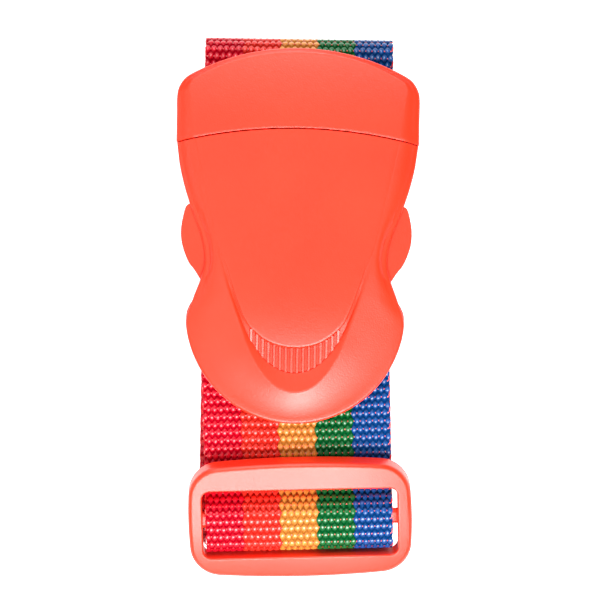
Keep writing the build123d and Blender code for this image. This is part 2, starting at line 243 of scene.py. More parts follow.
def floor_paint():
    """Pale, matt studio floor."""
    material, tree, shader = new_material("studio_floor")
    tint = noise(tree, place_in_object(tree), 3.0)
    colour = ramp(tree, tint, [(0.3, (0.80, 0.80, 0.80)), (0.7, (0.82, 0.82, 0.82))])
    tree.links.new(colour, shader.inputs["Base Color"])
    tree.links.new(colour, shader.inputs["Emission Color"])
    shader.inputs["Emission Strength"].default_value = 0.9
    shader.inputs["Roughness"].default_value = 0.9
    shader.inputs["Specular IOR Level"].default_value = 0.1
    return material


plastic = coral_plastic()
slider_plastic = coral_plastic("slider_plastic", [("Y", -56.0, -72.0, 2.0), ("X", 4.0, 31.0, 3.0)])
yarns = {
    "red": yarn("red_yarn", (0.55, 0.001, 0.012), (0.82, 0.002, 0.024)),
    "orange": yarn("orange_yarn", (0.75, 0.008, 0.008), (0.95, 0.048, 0.025)),
    "yellow": yarn("yellow_yarn", (0.50, 0.10, 0.008), (0.95, 0.40, 0.07)),
    "green": yarn("green_yarn", (0.001, 0.07, 0.013), (0.002, 0.19, 0.040)),
    "blue": yarn("blue_yarn", (0.001, 0.026, 0.15), (0.003, 0.10, 0.38)),
}
coral_yarn = yarn("coral_thread", (0.60, 0.020, 0.020), (0.85, 0.055, 0.050))


# =============================================================================== mesh helpers
def mesh_piece(name, points, faces, material, fibre, shade, sharp):
    """One object from its points in mm, with a fibre vector and a shade for each point."""
    mesh = bpy.data.meshes.new(name)
    mesh.from_pydata((np.asarray(points) * mm).tolist(), [], faces)
    mesh.polygons.foreach_set("use_smooth", [True] * len(mesh.polygons))
    attribute = mesh.attributes.new("fibre", "FLOAT_VECTOR", "POINT")
    attribute.data.foreach_set("vector", np.asarray(fibre, np.float32).ravel())
    attribute = mesh.attributes.new("shade", "FLOAT", "POINT")
    attribute.data.foreach_set("value", np.asarray(shade, np.float32))
    mesh.update()
    mesh.set_sharp_from_angle(angle=math.radians(sharp))
    mesh.materials.append(material)
    piece = bpy.data.objects.new(name, mesh)
    bpy.context.scene.collection.objects.link(piece)
    return piece


class Tubes:
    """Gathers many closed tubes into one mesh."""

    def __init__(self, sides):
        self.sides = sides
        self.points = []
        self.faces = []
        self.fibre = []
        self.shade = []
        self.count = 0

    def add(self, line, normals, half_width, half_height, shade=0.0):
        """A tube along a line of points; its section is wide across the normals."""
        line = np.asarray(line, float)
        rings = len(line)
        tangents = np.gradient(line, axis=0)
        across = np.cross(tangents, normals)
        across /= np.linalg.norm(across, axis=1, keepdims=True)
        upright = np.cross(across, tangents)
        upright /= np.linalg.norm(upright, axis=1, keepdims=True)
        angles = np.arange(self.sides) * 2 * math.pi / self.sides
        cosines = np.cos(angles)[None, :, None]
        sines = np.sin(angles)[None, :, None]
        width = np.broadcast_to(half_width, rings)[:, None, None]
        height = np.broadcast_to(half_height, rings)[:, None, None]
        ring = line[:, None] + across[:, None] * cosines * width + upright[:, None] * sines * height
        self.points.append(ring.reshape(-1, 3))
        steps = np.linalg.norm(np.diff(line, axis=0), axis=1)
        along = np.concatenate([[0.0], np.cumsum(steps)])
        turn = angles[None, :] + yarn_twist * along[:, None] + random.uniform(0, 6.28)
        start = random.uniform(0, 50)
        along_fibre = 0 * turn + start + along[:, None] * 0.5
        fibre = np.stack([3 * np.cos(turn), 3 * np.sin(turn), along_fibre], -1)
        self.fibre.append(fibre.reshape(-1, 3))
        self.shade.append(np.repeat(np.broadcast_to(shade, rings), self.sides))
        first = self.count + np.arange(rings - 1)[:, None] * self.sides
        here = first + np.arange(self.sides)[None, :]
        beside = first + (np.arange(self.sides)[None, :] + 1) % self.sides
        quads = np.stack([here, beside, beside + self.sides, here + self.sides], -1)
        self.faces += quads.reshape(-1, 4).tolist()
        last = self.count + (rings - 1) * self.sides
        self.faces.append(list(range(self.count + self.sides - 1, self.count - 1, -1)))
        self.faces.append(list(range(last, last + self.sides)))
        self.count += rings * self.sides

    def merge(self, points, faces):
        """Adds a finished closed shape, in the deepest shade."""
        self.points.append(points)
        self.fibre.append(points * 2)
        self.shade.append(np.ones(len(points)))
        self.faces += [[corner + self.count for corner in face] for face in faces]
        self.count += len(points)

    def piece(self, name, material):
        points, fibre, shade = [np.concatenate(part) for part in (self.points, self.fibre, self.shade)]
        return mesh_piece(name, points, self.faces, material, fibre, shade, sharp=75)


class Path:
    """A strap's centreline seen edge on, (y, z): straight runs joined by arcs."""

    step = 0.05

    def __init__(self, points, radii, yaw=None):
        points = [np.array(point, float) for point in points]
        dense = [points[0]]
        for index, radius in enumerate(radii, start=1):
            before = points[index] - points[index - 1]
            after = points[index + 1] - points[index]
            before /= np.linalg.norm(before)
            after /= np.linalg.norm(after)
            turn = math.acos(np.clip(before @ after, -1, 1))
            side = math.copysign(1, before[0] * after[1] - before[1] * after[0])
            normal = side * np.array([-before[1], before[0]])
            start = points[index] - before * radius * math.tan(turn / 2)
            centre = start + normal * radius
            for angle in np.linspace(0, turn, 4 + int(turn * radius / self.step)):
                sunk = centre - normal * radius * math.cos(angle)
                dense.append(sunk + before * radius * math.sin(angle))
        dense.append(points[-1])
        dense = np.array(dense)
        steps = np.linalg.norm(np.diff(dense, axis=0), axis=1)
        keep = np.concatenate([[True], steps > 1e-6])
        dense = dense[keep]
        places = np.concatenate([[0.0], np.cumsum(np.linalg.norm(np.diff(dense, axis=0), axis=1))])
        self.length = places[-1]
        self.places = np.linspace(0, self.length, int(self.length / self.step) + 1)
        self.line = np.stack([np.interp(self.places, places, dense[:, axis]) for axis in (0, 1)], -1)
        tangents = np.gradient(self.line, self.places, axis=0)
        tangents /= np.linalg.norm(tangents, axis=1, keepdims=True)
        self.normals = np.stack([-tangents[:, 1], tangents[:, 0]], -1)
        self.yaw = np.zeros(len(self.places)) if yaw is None else yaw(self.line[:, 0], self.line[:, 1])

    def place(self, x, places, lift):
        """Points and unit normals in space, at x across the strap and lifted off its middle."""
        line, normals = self.at(places)
        y, z = (line + normals * np.asarray(lift)[:, None]).T
        turn = np.interp(places, self.places, self.yaw)
        sine, cosine = np.sin(turn), np.cos(turn)
        out = y - yaw_pivot_y
        points = np.column_stack([x * cosine - out * sine, yaw_pivot_y + x * sine + out * cosine, z])
        upright = np.column_stack([-normals[:, 0] * sine, normals[:, 0] * cosine, normals[:, 1]])
        return points, upright

    def at(self, places):
        """(y, z) and the unit normal at places along the path."""
        line = [np.interp(places, self.places, self.line[:, axis]) for axis in (0, 1)]
        normal = [np.interp(places, self.places, self.normals[:, axis]) for axis in (0, 1)]
        return np.stack(line, -1), np.stack(normal, -1)

    def find(self, chosen):
        """Place of the first sample that a test on (y, z) picks."""
        hits = np.nonzero(chosen(self.line[:, 0], self.line[:, 1]))[0]
        return self.places[hits[0]]


# ==================================================================================== weaving
def column_x(column):
    return -webbing_width / 2 + selvage + (column + 0.5) * warp_pitch


def warp_yarn(tubes, path, column, start, stop, rings_per_row):
    """One warp yarn: over a weft row, under the next, its neighbours the other way round."""
    count = max(4, int((stop - start) / row_pitch * rings_per_row) + 1)
    places = np.linspace(start, stop, count)
    phase = math.pi * (places / row_pitch + column) + uneven_phase[column]
    ride = np.tanh(crest_steepness * np.cos(phase)) / math.tanh(crest_steepness)
    x = column_x(column) + uneven_x[column]
    points, upright = path.place(np.full(count, x), places, crest_height * ride)
    on_face = np.cos(phase) ** 2
    half_width = 0.45 + 0.27 * on_face  # a yarn spreads where it lies on the face
    # painted shade: the yarn is drawn darker, and without reflection, where it leaves the face between its
    # neighbours
    tubes.add(points, upright, half_width, warp_half_height, shade=1 - on_face)


def weft_rows(tubes, path, start, stop, edges_only=False):
    """Weft going back and forth between the warps, with its loops at both selvages."""
    first = math.ceil(start / row_pitch)
    last = math.floor(stop / row_pitch)
    edge = webbing_width / 2 - 0.5
    reach = 0.32
    edge_depth = 1.6
    for row in range(first, last + 1):
        side = 1 if row % 2 == 0 else -1
        inner = edge - edge_depth if edges_only else -edge
        x = np.linspace(inner, edge, 4 if edges_only else warp_count * 2 + 1) * side
        places = np.full(len(x), row * row_pitch)
        if row < last:
            turn = np.linspace(0, math.pi, 7)[1:-1]
            x = np.concatenate([x, side * (edge + reach * np.sin(turn))])
            places = np.concatenate([places, (row + 0.5 - 0.5 * np.cos(turn)) * row_pitch])
            if edges_only:
                x = np.concatenate([x, side * np.linspace(edge, inner, 4)])
                places = np.concatenate([places, np.full(4, (row + 1) * row_pitch)])
        column = (x - column_x(0)) / warp_pitch
        lift = -weft_lift * np.cos(math.pi * (places / row_pitch + column))
        points, upright = path.place(x, places, lift)
        tubes.add(points, upright, weft_half_width, weft_half_height)


def ribbon(path, start, stop, low_x, high_x, half_height):
    """Points and faces of a thin closed ribbon in the cloth's middle."""
    places = np.linspace(start, stop, max(3, int((stop - start) / 0.5)))
    corners = []
    for x, up in ((low_x, -1), (high_x, -1), (high_x, 1), (low_x, 1)):
        lift = np.full(len(places), up * half_height)
        corners.append(path.place(np.full(len(places), x), places, lift)[0])
    points = np.stack(corners, 1).reshape(-1, 3)
    faces = [[3, 2, 1, 0]]
    for ring in range(len(places) - 1):
        here = 4 * ring
        for corner in range(4):
            beside = (corner + 1) % 4
            faces.append([here + corner, here + beside, here + 4 + beside, here + 4 + corner])
    end = 4 * (len(places) - 1)
    faces.append([end, end + 1, end + 2, end + 3])
    return points, faces


def core_ribbon(name, path, start, stop):
    """The cloth's body, between its two faces of yarn."""
    half_width = webbing_width / 2 - 0.5
    points, faces = ribbon(path, start, stop, -half_width, half_width, 0.03)
    return mesh_piece(name, points, faces, coral_yarn, points * 2, np.zeros(len(points)), sharp=60)


def weave(name, path, span, full, replaces, place_on, fine=False):
    """One length of webbing: warp bands, weft and core. full lists the spans woven all over;
    the rest lies between layers, where only the selvages can be seen."""
    start, stop = span
    edge_spans = []
    cursor = start
    for low_place, high_place in full:
        if low_place - cursor > 0.5:
            edge_spans.append((cursor, low_place))
        cursor = high_place
    if stop - cursor > 0.5:
        edge_spans.append((cursor, stop))
    per_band = warp_count // len(colours)
    made = []
    for band, colour in enumerate(colours):
        tubes = Tubes(8 if fine else 6)
        band_low = column_x(band * per_band - 0.5)
        band_high = column_x((band + 1) * per_band - 0.5)
        for low_place, high_place in full:
            # what shows between the yarns has their own colour, darkened to half as painted shade
            tubes.merge(*ribbon(path, low_place, high_place, band_low, band_high, 0.07))
        for column in range(band * per_band, (band + 1) * per_band):
            at_edge = column < 2 or column >= warp_count - 2
            for low_place, high_place in full:
                warp_yarn(tubes, path, column, low_place, high_place, 6 if fine else 4)
            for low_place, high_place in edge_spans if at_edge else []:
                warp_yarn(tubes, path, column, low_place, high_place, 4)
        if tubes.count:
            piece = tubes.piece(f"{name}_warp_{colour}", yarns[colour])
            made.append(piece)
    weft = Tubes(5)
    for low_place, high_place in full:
        weft_rows(weft, path, low_place, high_place)
    for low_place, high_place in edge_spans:
        weft_rows(weft, path, low_place, high_place, edges_only=True)
    made.append(weft.piece(f"{name}_weft", coral_yarn))
    core = core_ribbon(f"{name}_core", path, start, stop)
    for piece in [core] + made:
        place_on(piece)
    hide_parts(*[f"{node}_{colour}" for node in replaces for colour in colours])


def riding(body):
    return lambda piece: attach(piece, body)


def bending(start, end):
    """Bakes a piece's place into its mesh and puts it on no body, so it doesn't bend; start and end, points
    (y, z) in mm, are not used.
    """
    start = (0, start[0] * mm, start[1] * mm)
    end = (0, end[0] * mm, end[1] * mm)
    return lambda piece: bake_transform(piece)


# ----------------------------------------------------------------------------- strap's route
def layer_z(number):
    return half_layer + number * layer_pitch


def fold_y(number):
    """Where the fold above a layer lies: a little uneven, as folded by hand."""
    uneven = 0.8 * math.sin(2.4 * number)
    return 69.4 + uneven if number % 2 == 0 else -59.3 - uneven


def slider_point(along, out):
    """A point of the slider's own tilted frame, as (y, z)."""
    y = slider_y + along * math.cos(slider_tilt) - out * math.sin(slider_tilt)
    z = slider_z + along * math.sin(slider_tilt) + out * math.cos(slider_tilt)
    return (y, z)


def shifted(points, distance):
    """The same bent path moved sideways, to its left for a positive distance."""
    points = np.array(points, float)
    runs = np.diff(points, axis=0)
    runs /= np.linalg.norm(runs, axis=1, keepdims=True)
    before = np.vstack([runs[:1], runs])
    after = np.vstack([runs, runs[-1:]])
    size = 1 + np.sum(before * after, axis=1)
    normal = np.column_stack([-before[:, 1] - after[:, 1], before[:, 0] + after[:, 0]])
    return points + distance * normal / size[:, None]


fold_share = 0.49  # a fold's radius as a share of the height between its two runs
over_centre_bar = centre_bar_top + half_layer + wrap_gap + layer_pitch
loop_slack = 1.0
run_points = [
    (female_bar[0] + female_bar_depth + half_layer + loop_slack, female_bar[1] + bar_wrap),
    (female_bar[0] - female_bar_depth, female_bar[1] + bar_wrap),
    (-38.0, slider_z + 0.95),
    (-46.5, slider_z - 1.65),
    slider_point(2.4, over_centre_bar),
    (bottom_fold_y - 2.2, slider_z - 0.65),
    (bottom_fold_y, slider_z - 6.0),
]
run_radii = [10.0, 8.0, 2.5, 3.0, 3.0, 3.0]
back_start = (run_points[0][0], female_bar[1] - bar_wrap)
seam_overlap_y = -52.0  # on the bottom layer, where two lengths meet


def back_run_z(y):
    """Height of the hidden layer between the female half's bar and the slider."""
    under = shifted(run_points, 2 * layer_pitch)[2]
    share = (y - back_start[0]) / (under[0] - back_start[0])
    return back_start[1] + share * (under[1] - back_start[1])


def askew(y, z):
    """The lower run's yaw, which eases away as the strap comes down round the stack."""
    share = np.clip((z - 3.0) / 17.0, 0, 1)
    return run_yaw * share**2 * (3 - 2 * share)


def loop_path():
    """From the sewn end round the female half's bar, over the slider, down to the bottom."""
    points = [(slider_seam_y, back_run_z(slider_seam_y)), back_start]
    points += run_points
    points += [(bottom_fold_y, layer_z(0)), (seam_overlap_y, layer_z(0))]
    return Path(points, [wrap_radius, wrap_radius] + run_radii + [2.0], askew)


def stack_path():
    """Zigzag from the bottom layer up to the top layer."""
    points = [(seam_overlap_y, layer_z(0))]
    for number in range(layer_count - 1):
        points += [(fold_y(number), layer_z(number)), (fold_y(number), layer_z(number + 1))]
    points.append((male_seam_y, layer_z(layer_count - 1)))
    return Path(points, [fold_share * layer_pitch] * (2 * (layer_count - 1)))


def slider_end_path():
    """The doubled end sewn round the slider's centre bar."""
    tail = shifted(run_points, layer_pitch)
    back = shifted(run_points, 2 * layer_pitch)
    gap = half_layer + wrap_gap
    over, under = centre_bar_top + gap, centre_bar_bottom - gap
    end_along = centre_bar_end - gap - 0.3
    tail_y = slider_seam_y - 1.5
    points = [(tail_y, back_run_z(tail_y) + layer_pitch), tail[2], tail[3], tail[4]]
    points += [slider_point(end_along, over), slider_point(end_along, under)]
    points += [slider_point(1.7, under), back[3], back[2]]
    points.append((slider_seam_y - 0.05, back_run_z(slider_seam_y)))
    bend = fold_share * (over - under)
    return Path(points, [8.0, 3.0, 1.2, bend, bend, 1.5, 3.0, 8.0], askew)


def male_end_path():
    """The doubled end sewn round the male half's bar, with the big fold beyond the cap."""
    top_layer = layer_z(layer_count - 1)
    tail = top_layer + layer_pitch
    upper, lower = male_bar[1] + bar_wrap, male_bar[1] - bar_wrap
    wrap_y = male_bar[0] - male_bar_depth - half_layer - wrap_gap
    inner_fold = fold_end - 3.0
    points = [(male_seam_y, top_layer), (fold_end, top_layer), (fold_end, upper), (wrap_y, upper)]
    points += [(wrap_y, lower), (inner_fold, lower), (inner_fold, tail), (male_seam_y + 4.0, tail)]
    outer, inner = fold_share * (upper - top_layer), fold_share * (lower - tail)
    return Path(points, [outer, outer, wrap_radius, wrap_radius, inner, inner])


def make_webbing():
    """Every length of the strap; the stack and the two sewn ends ride on the parts that carry them."""
    loop = loop_path()
    front = loop.find(lambda y, z: (y < -16) & (z > female_bar[1] - 1))
    crest = loop.find(lambda y, z: (y < -57.5) & (z > slider_z))
    overlap = 0.15
    pull = bending((-4.0, 0), (-14.3, 0))
    whole = (0, crest + overlap)
    weave("webbing_run", loop, whole, [(front, whole[1])], ["webbing_adjusting_loop"], pull, fine=True)
    lean = bending((0, 2.0), (0, 18.0))
    weave("webbing_end_fold", loop, (crest, loop.length), [(crest, loop.length)], [], lean, fine=True)

    stack = stack_path()
    bottom_end = stack.find(lambda y, z: y > fold_y(0) - 4)
    fold_reach = 5  # how far the weave shows on each side of a fold
    full = [(0, bottom_end + 2 * fold_reach)]
    for number in range(2, layer_count - 1, 2):
        fold_z = layer_z(number + 0.5)
        middle = stack.find(lambda y, z: (y > fold_y(number) - 0.8) & (abs(z - fold_z) < 0.3))
        full.append((middle - fold_reach, middle + fold_reach))
    top_start = stack.find(lambda y, z: (y < -50) & (abs(z - layer_z(layer_count - 2)) < 0.01))
    weave("webbing_stack", stack, (0, top_start), full, ["webbing_stack"], riding("female_half"))
    stretch = bending((-50, 0), (34, 0))
    bared = stack.length - 34  # seen when the male half is pulled out
    weave("webbing_top_layer", stack, (top_start, stack.length), [(bared, stack.length)], [], stretch)

    male = male_end_path()
    span = (0, male.length)
    weave("webbing_male_end", male, span, [span], ["webbing_male_end"], riding("male_half"), fine=True)
    doubled = slider_end_path()
    span = (0, doubled.length)
    weave("webbing_slider_end", doubled, span, [], ["webbing_slider_end"], riding("slider"))


# ===================================================================================== plastic
def smooth_curve(keys, steps):
    """A smooth curve through its key points, with the same number of steps between them.
    It ends on the middle line, which it crosses square."""
    keys = np.array(keys, float)
    mirrored = keys[-2] * ([-1, 1] if keys.shape[1] == 2 else [1])
    padded = np.vstack([2 * keys[0] - keys[1], keys, mirrored])
    points = []
    for index in range(len(keys) - 1):
        before, start, end, after = padded[index : index + 4]
        for share in np.arange(steps) / steps:
            square, cube = share**2, share**3
            points.append(
                0.5
                * (
                    2 * start
                    + (end - before) * share
                    + (2 * before - 5 * start + 4 * end - after) * square
                    + (3 * start - before - 3 * end + after) * cube
                )
            )
    points.append(keys[-1])
    return np.array(points)


def along_keys(values, steps):
    """Plain numbers given at the keys, eased between them."""
    return smooth_curve(np.array(values, float)[:, None], steps)[:, 0]


def parting_y(x):
    return parting_centre_y - (parting_radius - math.sqrt(parting_radius**2 - x * x))


def meet_parting(ring, gap):
    """Moves a ring's start on to the parting line, the rest following less and less."""
    move = parting_y(ring[0, 0]) + gap - ring[0, 1]
    ring[:, 1] += move * np.linspace(1, 0, len(ring)) ** 2


def outward(outline, side):
    """Unit normals in the plane, pointing out of a right-hand outline."""
    tangents = np.gradient(outline, axis=0)
    normals = np.column_stack([-tangents[:, 1], tangents[:, 0]]) * side
    normals /= np.linalg.norm(normals, axis=1, keepdims=True)
    normals[-1] = (0, math.copysign(1, normals[-1][1]))
    return normals


def cover(name, rings, low_edge, roof, inner, spine, gap, add=None):
    """A moulded cover, open below: nested rings from the middle line out to the rim, an
    outer wall, and the hollow's inner wall and roof (which gives heights for a plan). Built on
    the right and mirrored. Its front face stands on the parting line, as upright strips
    between the skin and the roof."""
    outline = rings[-1][:, :2]
    meet_parting(inner, gap)
    shares = [ring[0, 0] / inner[0, 0] for ring in rings if ring[0, 0] < inner[0, 0] - 0.1]
    loop = list(rings)
    loop.append(with_height(outline, low_edge))
    loop.append(with_height(inner, low_edge))
    loop.append(with_height(inner, np.maximum(roof(inner), low_edge + 0.01)))
    for share in reversed(shares):
        plan = between(spine, inner, share)
        meet_parting(plan, gap)
        loop.append(with_height(plan, roof(plan)))
    grid = np.array(loop)
    profile, stations = grid.shape[:2]
    shell = bmesh.new()
    for side in (1, -1):
        points = grid.reshape(-1, 3) * np.array([side, 1, 1]) * mm
        verts = [shell.verts.new(point) for point in points]
        for ring in range(profile - 1):
            for station in range(stations - 1):
                a = ring * stations + station
                corners = [a, a + 1, a + 1 + stations, a + stations]
                shell.faces.new([verts[corner] for corner in corners[::side]])
        front = [verts[ring * stations] for ring in range(profile)]
        last = len(shares) - 1
        for ring in range(last):
            below = profile - 1 - ring
            strip = [front[ring], front[ring + 1], front[below - 1], front[below]]
            shell.faces.new(strip[::side])
        rest = front[last : profile - last]
        shell.faces.new(rest[::side])
    bmesh.ops.remove_doubles(shell, verts=shell.verts, dist=1e-7)
    bmesh.ops.dissolve_degenerate(shell, edges=shell.edges, dist=1e-7)
    if add is not None:
        add(shell)
    bmesh.ops.recalc_face_normals(shell, faces=shell.faces)
    bmesh.ops.triangulate(shell, faces=[face for face in shell.faces if len(face.verts) > 4])
    mesh = bpy.data.meshes.new(name)
    shell.to_mesh(mesh)
    shell.free()
    mesh.polygons.foreach_set("use_smooth", [True] * len(mesh.polygons))
    mesh.set_sharp_from_angle(angle=math.radians(38))
    mesh.materials.append(plastic)
    piece = bpy.data.objects.new(name, mesh)
    bpy.context.scene.collection.objects.link(piece)
    return piece


def between(first, second, share):
    return first + (second - first) * share


def with_height(plan, height):
    return np.column_stack([plan, height])


def rounded_rim(outline, normals, rim_height, inset, drop):
    """Rings that round the edge over from the top face into the wall."""
    rings = []
    for angle in (0, 30, 60, 90):
        turn = math.radians(angle)
        plan = outline - normals * (inset * (1 - math.sin(turn)))[:, None]
        rings.append(with_height(plan, rim_height - drop * (1 - math.cos(turn))))
    return rings


def break_parting_edge(rings, gap, across, drop):
    """Puts every ring's start on the parting line and takes the sharp edge off it."""
    for ring in rings:
        meet_parting(ring, gap)
        share = across / np.linalg.norm(ring[1] - ring[0])
        ring[1] = between(ring[0], ring[1], share)
        ring[0, 2] -= drop


def at_x(line, heights, x):
    """(y, z) where a line that runs in to the middle passes x."""
    return [np.interp(x, line[::-1, 0], values[::-1]) for values in (line[:, 1], heights)]


def female_rib(shell, x, start, stop):
    """One upright rib from (y, z) under the lip down to (y, z) in the recess, with a rounded
    crown and its foot sunk a little."""
    half = 0.46
    stations = 9
    section = [(-1.0, 0.0), (-0.9, 0.75), (-0.6, 1.0), (0.6, 1.0), (0.9, 0.75), (1.0, 0.0)]
    start, stop = np.array(start), np.array(stop)
    rows = []
    for share in np.linspace(0, 1, stations):
        y, crown = between(start, stop, share)
        foot = crown - 1.0
        rows.append([(x + half * across, y, between(foot, crown, up)) for across, up in section])
    verts = [[shell.verts.new(Vector(point) * mm) for point in row] for row in rows]
    for row, beyond in zip(verts, verts[1:]):
        for index in range(len(section)):
            beside = (index + 1) % len(section)
            shell.faces.new([row[index], row[beside], beyond[beside], beyond[index]])
    shell.faces.new(verts[0])
    shell.faces.new(verts[-1][::-1])


def make_female_front():
    """Front cover of the female half: shield pad, lip, ribbed recess, V facet, dished end."""
    steps = 8
    top = buckle_top
    end_radius = 29.0
    end_centre = round_end_y + end_radius
    parting = [parting_y(x) for x in (31.9, 26.8, 27.1)]
    end_angles = (5, 22, 40, 58, 75, 90)
    end_arc = [
        (end_radius * math.cos(math.radians(a)), end_centre - end_radius * math.sin(math.radians(a)))
        for a in end_angles
    ]
    outline = smooth_curve(
        [(31.9, parting[0]), (30.9, 36.5), (28.8, 28.8), (25.0, 18.5), (24.1, 12.2)]
        + [(25.1, 7.6), (27.1, 2.2)]
        + end_arc,
        steps,
    )
    shield = smooth_curve(
        [(26.8, parting[1]), (25.3, 37.0), (23.5, 29.2), (21.6, 20.5), (20.1, 15.2)]
        + [(18.5, 11.2), (16.9, 6.2), (15.3, 1.6), (13.2, -3.3), (10.6, -6.3)]
        + [(7.2, -8.7), (3.6, -9.95), (0.0, -10.3)],
        steps,
    )
    crease = smooth_curve(
        [(27.1, parting[2]), (25.6, 37.0), (23.85, 29.2), (22.0, 20.5), (20.75, 15.0)]
        + [(19.7, 11.0), (18.4, 6.6), (16.9, 2.2), (14.4, -4.7), (12.0, -11.2)]
        + [(8.6, -17.0), (4.6, -20.9), (0.0, -22.3)],
        steps,
    )
    floor_keys = [0.5, 0.5, 0.5, 0.5, 0.5, 0.5, 0.52, 0.55, 0.55, 0.55, 0.56, 0.56, 0.56]
    floor_edge = between(shield, crease, along_keys(floor_keys, steps)[:, None])
    spine_end = 2.0
    share = (shield[:, 1] - shield[0, 1]) / (shield[-1, 1] - shield[0, 1])
    spine = np.column_stack([0 * share, parting_centre_y + (spine_end - parting_centre_y) * share])

    def pad_height(plan):
        roll = np.clip((13.0 - plan[:, 1]) / 23.0, 0, 1.2)
        return top - 1.35 * roll**3 - 0.25 * (plan[:, 0] / 25.0) ** 2

    shield_z = pad_height(shield)
    step_keys = [0, 0, 0, 0, 0.02, 0.12, 0.32, 0.55, 0.85, 0.95, 0.95, 0.95, 0.95]
    foot_z = shield_z - along_keys(step_keys, steps)
    crease_rel = [-0.28, -0.28, -0.26, -0.26, -0.26, -0.3, -0.45, -0.65, -1.0, -1.35, -1.75, -2.0, -2.05]
    crease_z = top + along_keys(crease_rel, steps)
    dip_keys = [0, 0, 0, 0, 0.02, 0.08, 0.2, 0.35, 0.45, 0.45, 0.42, 0.40, 0.40]
    facet_z = np.minimum(foot_z - 0.04, crease_z - along_keys(dip_keys, steps))
    sunk_keys = [0, 0, 0, 0, 0, 0, 0, 0.12, 0.35, 0.4, 0.4, 0.4, 0.4]
    floor_z = facet_z - along_keys(sunk_keys, steps)
    rim_rel = [-2.3, -2.2, -2.0, -1.85, -1.8, -1.9, -2.7, -3.3, -3.6, -3.75, -3.85, -3.9, -3.9]
    rim_z = top + along_keys(rim_rel, steps)
    dish_keys = [-1, -1, -1, -1, -1, -0.8, -0.5, -0.1, 0.3, 0.7, 1, 1, 1]
    dish = np.clip(along_keys(dish_keys, steps), -1, 1)

    rings = []
    for pad_share in (0.0, 0.2, 0.4, 0.58, 0.74, 0.87, 0.95):
        plan = between(spine, shield, pad_share)
        rings.append(with_height(plan, pad_height(plan)))
    lip = np.clip(along_keys(step_keys, steps) / 0.9, 0, 1)
    normals = outward(shield, 1 if shield[1, 1] < shield[0, 1] else -1)
    rings.append(with_height(shield - normals * 0.3, pad_height(shield - normals * 0.3)))
    rings.append(with_height(shield - normals * 0.1, shield_z - 0.03 - 0.05 * lip))
    rings.append(with_height(shield, shield_z - 0.05 - 0.22 * lip))
    rings.append(with_height(between(shield, floor_edge, 0.06), foot_z - 0.05))
    rings.append(with_height(floor_edge, floor_z))
    rings.append(with_height(between(floor_edge, crease, 0.02), facet_z))
    rings.append(with_height(between(floor_edge, crease, 0.2), between(facet_z, crease_z, 0.3)))
    rings.append(with_height(between(floor_edge, crease, 0.85), between(facet_z, crease_z, 0.9)))
    rings.append(with_height(crease, crease_z))
    out_normals = outward(outline, 1)
    inset_keys = [0.75, 0.8, 1.0, 1.3, 1.4, 1.3, 1.0, 0.8, 0.75, 0.75, 0.75, 0.75, 0.75]
    rim_inset = along_keys(inset_keys, steps)
    edge = outline - out_normals * rim_inset[:, None]
    for out_share in (0.04, 0.12, 0.24, 0.38, 0.52, 0.66, 0.8, 0.9):
        plan = between(crease, edge, out_share)
        bulging = out_share**2.0
        dished = 1 - (1 - out_share) ** 1.7
        bulge = out_share + (bulging - out_share) * -dish
        law = np.where(dish < 0, bulge, out_share + (dished - out_share) * dish)
        rings.append(with_height(plan, between(crease_z, rim_z, law)))
    rings += rounded_rim(outline, out_normals, rim_z, rim_inset, drop=0.65)

    break_parting_edge(rings, gap=0.0, across=0.08, drop=0.10)
    y = outline[:, 1]
    on_flank = np.arange(len(y)) < 8 * steps
    in_window = (y < window_high_y + 0.1) & (y > window_low_y) & on_flank
    behind = y < -14.0
    low_edge = np.where(in_window, pocket_roof, np.where(behind, slot_roof, split_height))
    low_edge = np.minimum(low_edge, rings[-1][:, 2] - 0.2)
    inner = outline - out_normals * wall
    # The wall ends square at the window's upper edge: the station next to it moves there
    window_end = np.flatnonzero(in_window)[0]
    for line in [*rings, inner]:
        line[window_end - 1] = between(line[window_end], line[window_end - 1], 0.08)

    def roof(plan):
        return np.where(plan[:, 1] > window_low_y - 1.0, pocket_roof, slot_roof + 0.1)

    def ribs(shell):
        rib_count = 16
        rib_pitch = 1.53
        for number in range(rib_count):
            x = (number - (rib_count - 1) / 2) * rib_pitch
            start_y, start_z = at_x(shield, foot_z, abs(x))
            stop_y, stop_z = at_x(floor_edge, facet_z, abs(x))
            female_rib(shell, x, (start_y - 0.1, start_z + 0.85), (stop_y - 0.1, stop_z - 0.1))

    piece = cover("female_front_cover", rings, low_edge, roof, inner, spine, gap=0.0, add=ribs)
    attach(piece, "female_half")
    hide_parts("female_front_shell")


